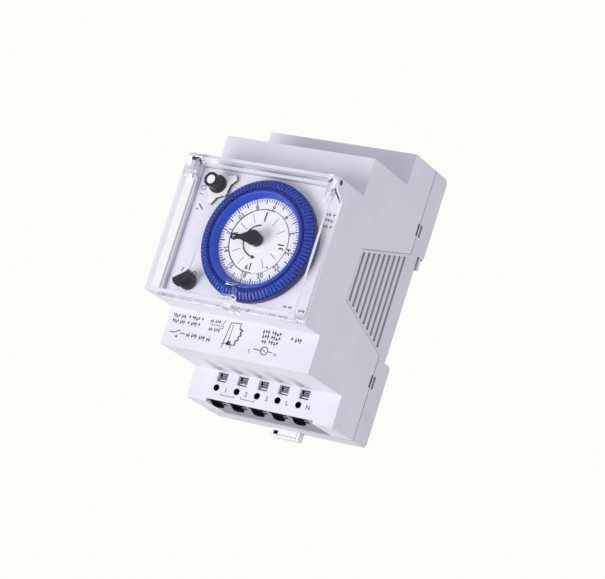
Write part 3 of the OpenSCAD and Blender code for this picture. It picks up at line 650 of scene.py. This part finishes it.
def draw_wiring_help(p):
    """Line drawing of a tool at a terminal, with rows of marks beside it."""
    p.words(-11.9, -8.0, -24.5, 1.2, (2, 3))
    p.words(-11.7, -7.5, -27.1, 1.2, (2, 3))
    p.path([(-11.6, -25.6), (-7.6, -25.6), (-6.4, -23.6)], 0.22)
    p.path([(-8.0, -26.2), (-6.9, -26.3), (-6.8, -25.2)], 0.22)
    p.path([(-4.5, -23.9), (-0.8, -23.6), (-0.9, -25.2)], 0.28)
    p.line((-4.4, -23.9), (-5.2, -30.6), 0.28)
    p.line((-3.4, -24.4), (-3.5, -30.3), 0.22)
    p.path([(-0.9, -25.2), (0.4, -25.7), (-0.3, -26.5), (0.3, -27.2), (-0.6, -27.9), (-0.2, -28.7),
            (-1.1, -29.3), (-1.0, -30.6)], 0.5)
    p.path([(-5.6, -31.0), (-4.6, -30.5), (-1.0, -30.7)], 0.3)
    p.shape([(-3.9, -29.6), (-2.6, -29.6), (-2.6, -31.0), (-4.2, -31.0)])
    p.line((-5.2, -31.0), (-5.2, -32.2), 0.25)
    p.line((-2.2, -30.8), (-2.2, -32.0), 0.25)


def draw_motor(p):
    """Rows of marks at the right, with the motor's symbol between its two poles."""
    p.words(7.4, 14.2, -24.6, 1.3, (3, 4))
    p.words(7.6, 14.2, -26.1, 1.3, (3, 4))
    p.words(7.9, 13.9, -27.6, 1.3, (2, 4))
    p.glyphs("L", 4.7, -31.3, 1.7)
    p.line((5.8, -30.55), (8.5, -30.55), 0.28)
    p.arc(9.8, -30.5, 1.25, 0, 360, 0.32, 24)
    p.line((9.1, -30.1), (10.5, -30.9), 0.25)
    p.line((11.1, -30.5), (12.8, -30.6), 0.28)
    p.glyphs("N", 13.8, -31.1, 1.5)
    p.words(17.7, 21.6, -25.4, 1.5, (1, 3))


def print_label():
    """Wiring label on the middle step."""
    p = Print("label_print", LABEL_Y, "case", GREY_INK)
    draw_ratings(p)
    draw_wiring_help(p)
    draw_motor(p)
    p.done()


def print_terminals():
    """Terminal marks and the brackets that join pairs of contacts."""
    p = Print("terminal_print", TERM_Y, "case", GREY_INK)
    for i, mark in enumerate("123LN"):
        p.glyphs(mark, terminal_x(i) + 3.6, -40.5, 2.1, 0, 0.02)
    for i in range(2):
        left, right = terminal_x(i) + 2.0, terminal_x(i) + 7.3
        p.path([(left, -41.7), (left + 0.2, -42.2), (right - 0.2, -42.2), (right, -41.7)], 0.2)
    p.done()


# ---------- terminals ----------

def solid_piece(name, bm, look, body, bevel=0.0):
    """Finished piece from bm, riding a body, with its edges bevelled by that many mm."""
    bmesh.ops.recalc_face_normals(bm, faces=bm.faces)
    mesh = bpy.data.meshes.new(name)
    bm.to_mesh(mesh)
    bm.free()
    mesh.materials.append(look)
    obj = bpy.data.objects.new(name, mesh)
    scene.collection.objects.link(obj)
    if bevel:
        edge = obj.modifiers.new("edges", "BEVEL")
        edge.width, edge.segments = bevel * MM, 2
        edge.limit_method = "ANGLE"
    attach(obj, body)
    return obj


def prism(bm, outline, axis, start, end):
    """Closed outline in the plane across axis (0 X, 1 Y, 2 Z), drawn out from start to end, in mm."""
    def corner(p, level):
        v = list(p)
        v.insert(axis, level)
        return bm.verts.new([c * MM for c in v])
    low = [corner(p, start) for p in outline]
    high = [corner(p, end) for p in outline]
    bm.faces.new(low[::-1])
    bm.faces.new(high)
    for i in range(len(outline)):
        j = (i + 1) % len(outline)
        bm.faces.new((low[i], low[j], high[j], high[i]))


def box(bm, lo, hi):
    """Block between two opposite corners in mm."""
    prism(bm, [(lo[0], lo[1]), (hi[0], lo[1]), (hi[0], hi[1]), (lo[0], hi[1])], 2, lo[2], hi[2])


def skin(bm, rings):
    """Faces between neighbouring rings of points, and from the last ring back to the first."""
    for a, b in zip(rings, rings[1:] + rings[:1]):
        for i in range(len(a)):
            j = (i + 1) % len(a)
            bm.faces.new((a[i], a[j], b[j], b[i]))


def cup(bm, spot, r, mouth, end, sides=32):
    """A thin sleeve closed at its inner end: spot(a, b, level) gives the place of its points in mm."""
    wall, tip = 0.08, 0.02
    profile = [(r, mouth), (r, end), (tip, end), (tip, end - wall), (r - wall, end - wall), (r - wall, mouth)]
    turn = [2 * math.pi * i / sides for i in range(sides)]
    skin(bm, [[bm.verts.new([MM * c for c in spot(q * math.cos(t), q * math.sin(t), level)]) for t in turn]
              for q, level in profile])


def entry_spot(x, y):
    """Places for a sleeve along Z whose mouth, level None, follows the bottom face."""
    return lambda a, b, level: (x + a, y + b, slope_z(y + b) + 0.03 if level is None else level)


def test_spot(x):
    """Places for a sleeve along Y in a round test hole."""
    return lambda a, b, level: (x + a, level, TEST_Z + b)


def outline_reach(outline, angle):
    """Distance from 0, 0 to the edge of a convex outline in one direction."""
    dx, dy = math.cos(angle), math.sin(angle)
    reach = math.inf
    for (ax, ay), (bx, by) in zip(outline, outline[1:] + outline[:1]):
        nx, ny = by - ay, ax - bx
        slant = nx * dx + ny * dy
        if slant > 1e-6:
            reach = min(reach, (nx * ax + ny * ay) / slant)
    return reach


def entry_shade_plate(bm, x, outline, sides=36):
    """A thin dark plate on the sloped bottom face, with the round wire entry through it: painted shade of the
    pocket round the entry.
    """
    hole, sunk, proud = 1.86, -0.06, 0.03
    turn = [2 * math.pi * i / sides for i in range(sides)]
    rings = []
    for inner, lift in ((True, sunk), (False, sunk), (False, proud), (True, proud)):
        ring = []
        for angle in turn:
            r = hole if inner else outline_reach(outline, angle)
            px, py = r * math.cos(angle), ENTRY_Y + r * math.sin(angle)
            ring.append(bm.verts.new((MM * (x + px), MM * py, MM * (slope_z(py) + lift))))
        rings.append(ring)
    skin(bm, rings)


def make_wire_entry_shade():
    """Painted shade in and round the wire entries: black funnels of the entries, sleeves of the small holes
    beside them, and dark linings of the notches in front of them."""
    bm = bmesh.new()
    outline = [(-1.4, -3.5), (2.9, -3.5), (2.3, 0.4), (0.9, 2.3), (-2.0, 3.5), (-2.7, 1.6)]
    for i in range(TERMINALS):
        x = terminal_x(i)
        entry_shade_plate(bm, x, outline)
        cup(bm, entry_spot(x, ENTRY_Y), 1.885, None, -42.2)
        cup(bm, entry_spot(x + 3.3, ENTRY_Y - 1), 0.735, None, -42.8, sides=16)
        box(bm, (x - 2.37, -18.97, -43.0), (x + 4.37, -18.03, -42.91))
        box(bm, (x - 2.37, -18.07, -44.2), (x + 4.37, -18.01, -42.92))
    solid_piece("wire_entry_shade", bm, SHADE_BLACK, "case")


def make_test_hole_shade():
    """Black sleeves of the round test holes: painted shade inside them."""
    bm = bmesh.new()
    for i in range(TERMINALS):
        cup(bm, test_spot(terminal_x(i)), 1.085, -19.4, -17.3)
    solid_piece("test_hole_shade", bm, SHADE_BLACK, "case")


def make_clamp_levers():
    """Release levers behind the screwdriver windows: black backs as painted shade in the windows, grey ribs,
    light lips.
    """
    back_shade, ribs, lips = bmesh.new(), bmesh.new(), bmesh.new()
    for i in range(TERMINALS):
        x = terminal_x(i) + WINDOW_SHIFT
        box(back_shade, (x - 1.77, -18.1, -38.07), (x + 1.77, -17.85, -35.13))
        for k in range(3):
            z = -35.62 - 0.62 * k
            box(ribs, (x - 0.85, -18.55, z - 0.2), (x + 1.72, -18.12, z + 0.2))
        box(ribs, (x - 1.72, -18.6, -38.0), (x - 1.25, -18.12, -36.2))
        box(lips, (x - 0.85, -19.05, -37.62), (x + 1.72, -18.12, -37.3))
    solid_piece("lever_back_shade", back_shade, SHADE_BLACK, "case")
    solid_piece("lever_ribs", ribs, CLAMP, "case", 0.04)
    solid_piece("lever_lips", lips, LOOKS["catch"], "case", 0.04)


# ---------- case details ----------

def make_seam():
    """Shadow line in the joint between front shell and rear shell, open at the ribbed wings."""
    bm = bmesh.new()
    sunk, proud, half = 0.4, 0.02, 0.12
    corner_z, wing_z = HALF_H - 0.07, 17.0
    front, back = SPLIT_Y - half, SPLIT_Y + half
    wide = HALF_W + proud
    for s in (-1, 1):
        x0, x1 = sorted((s * (HALF_W - sunk), s * wide))
        for z0, z1 in ((-corner_z, -wing_z), (wing_z, corner_z)):
            box(bm, (x0, front, z0), (x1, back, z1))
        z0, z1 = sorted((s * (HALF_H - sunk), s * (HALF_H + proud)))
        box(bm, (-wide, front, z0), (wide, back, z1))
    solid_piece("shell_seam", bm, GREY_INK, "case")


def make_tab_marks():
    """Painted shade in the depth of the tab's screwdriver slot, as a black block, and the moulded lines
    beside it.
    """
    bm = bmesh.new()
    box(bm, (-4.72, 0.85, -46.87), (-3.18, 2.9, -45.83))
    solid_piece("tab_slot_shade", bm, SHADE_BLACK, "catch")
    p = Print("tab_print", 0.55, "catch", GREY_INK)
    p.line((-4.55, -47.1), (3.45, -47.1), 0.13)
    p.line((3.75, -45.1), (3.75, -47.6), 0.1)
    p.done()


def make_catch_spring():
    """Round wire spring of the rail catch."""
    bm = bmesh.new()
    axis_x, axis_y, foot_z = -0.5, 1.95, -33
    r, wire, length, turns = 1.2, 0.25, 9.9, 6
    sides, per_turn = 10, 36
    count = per_turn * turns
    rings = []
    for i in range(count + 1):
        a = 2 * math.pi * i / per_turn
        level = foot_z + wire + (length - 2 * wire) * i / count
        ring = []
        for k in range(sides):
            b = 2 * math.pi * k / sides
            q = r + wire * math.cos(b)
            ring.append(bm.verts.new((MM * (axis_x + q * math.cos(a)), MM * (axis_y + q * math.sin(a)),
                                      MM * (level + wire * math.sin(b)))))
        rings.append(ring)
    for a, b in zip(rings, rings[1:]):
        for k in range(sides):
            j = (k + 1) % sides
            bm.faces.new((a[k], a[j], b[j], b[k]))
    bm.faces.new(rings[0][::-1])
    bm.faces.new(rings[-1])
    for face in bm.faces:
        face.smooth = len(face.verts) == 4
    spring = solid_piece("catch_coil", bm, LOOKS["steel"], "case")
    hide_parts("catch_spring")
    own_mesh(spring)


make_wire_entry_shade()
make_test_hole_shade()
make_clamp_levers()
make_seam()
make_tab_marks()
make_catch_spring()

print_hour_scale()
print_minute_scale()
print_panel()
print_label()
print_terminals()


# ---------- studio and camera ----------

def make_camera():
    """The photograph's viewing angle: azimuth, elevation and roll about a point inside the case."""
    azimuth, elevation, roll = (math.radians(a) for a in (31.709, -11.353, 17.566))
    back = Vector((math.sin(azimuth) * math.cos(elevation), -math.cos(azimuth) * math.cos(elevation),
                   math.sin(elevation)))
    right = Vector((0, 0, 1)).cross(back).normalized()
    up = back.cross(right)
    rows = [math.cos(roll) * right + math.sin(roll) * up, math.cos(roll) * up - math.sin(roll) * right, back]
    turn = Matrix(rows).transposed()
    inside_case = Vector((0, -28.9, 0))
    # to the right, up and away from that point, as the camera sees it
    offset = Vector((4.7099, -7.1691, 880.907))
    camera = bpy.data.objects.new("camera", bpy.data.cameras.new("camera"))
    scene.collection.objects.link(camera)
    camera.matrix_world = Matrix.Translation((inside_case + turn @ offset) * MM) @ turn.to_4x4()
    camera.data.sensor_width = 36
    camera.data.lens = 169.25
    camera.data.clip_start = 0.05
    camera.data.clip_end = 20
    scene.camera = camera


def make_world():
    """Pale background for the eye, and a softer, cooler fill for the light."""
    world = bpy.data.worlds.new("studio")
    scene.world = world
    world.use_nodes = True
    tree = world.node_tree
    tree.nodes.clear()
    path = tree.nodes.new("ShaderNodeLightPath")
    either = tree.nodes.new("ShaderNodeMath")
    either.operation = "MAXIMUM"
    fill, seen = tree.nodes.new("ShaderNodeBackground"), tree.nodes.new("ShaderNodeBackground")
    fill.inputs["Color"].default_value = (0.93, 0.93, 1.0, 1)
    fill.inputs["Strength"].default_value = 0.50
    seen.inputs["Color"].default_value = (0.991, 0.983, 0.939, 1)
    mix = tree.nodes.new("ShaderNodeMixShader")
    leave = tree.nodes.new("ShaderNodeOutputWorld")
    for source, target in ((path.outputs["Is Camera Ray"], either.inputs[0]),
                           (path.outputs["Is Transmission Ray"], either.inputs[1]),
                           (either.outputs[0], mix.inputs[0]),
                           (fill.outputs[0], mix.inputs[1]),
                           (seen.outputs[0], mix.inputs[2]),
                           (mix.outputs[0], leave.inputs[0])):
        tree.links.new(source, target)


def area_light(name, place, size, power, color):
    """Round soft light at a place in metres, turned to the middle of the case."""
    middle = Vector((0, -0.03, 0))
    light = bpy.data.lights.new(name, "AREA")
    light.shape = "DISK"
    light.size = size
    light.energy = power
    light.color = color
    obj = bpy.data.objects.new(name, light)
    scene.collection.objects.link(obj)
    obj.location = place
    obj.rotation_mode = "QUATERNION"
    obj.rotation_quaternion = (middle - Vector(place)).to_track_quat("-Z", "Y")


def make_lights():
    area_light("key", (-0.30, -0.60, -0.40), 0.5, 3.75, (1.0, 0.99, 0.98))
    area_light("upper", (-0.5, -0.9, 0.75), 0.9, 0.7, (0.97, 0.97, 1.0))
    area_light("right", (1.1, -0.35, 0.0), 0.8, 3.6, (0.96, 0.96, 1.0))
    area_light("back", (-0.9, 1.2, 0.9), 1.0, 9.5, (0.98, 0.98, 1.0))


def make_floor():
    """Plain pale floor well below the object, nearly as pale to the eye as the background."""
    grid = bmesh.new()
    bmesh.ops.create_grid(grid, x_segments=8, y_segments=8, size=6)
    mesh = bpy.data.meshes.new("floor")
    grid.to_mesh(mesh)
    grid.free()
    obj = bpy.data.objects.new("floor", mesh)
    obj.location = (0, 0, -0.75)
    scene.collection.objects.link(obj)
    g = Graph("pale_floor")
    g.join(g.tint(g.noise(120, 2), (0.90, 0.89, 0.86), (0.93, 0.92, 0.89)), g.shader.inputs["Base Color"])
    g.join(g.ramp(g.noise(30, 2), 0.75, 0.85), g.shader.inputs["Roughness"])
    g.set(Emission_Color=(0.5, 0.49, 0.46, 1))
    g.join(g.seen(), g.shader.inputs["Emission Strength"])
    mesh.materials.append(g.material)


make_camera()
make_world()
make_lights()
make_floor()
scene.view_settings.view_transform = "Standard"
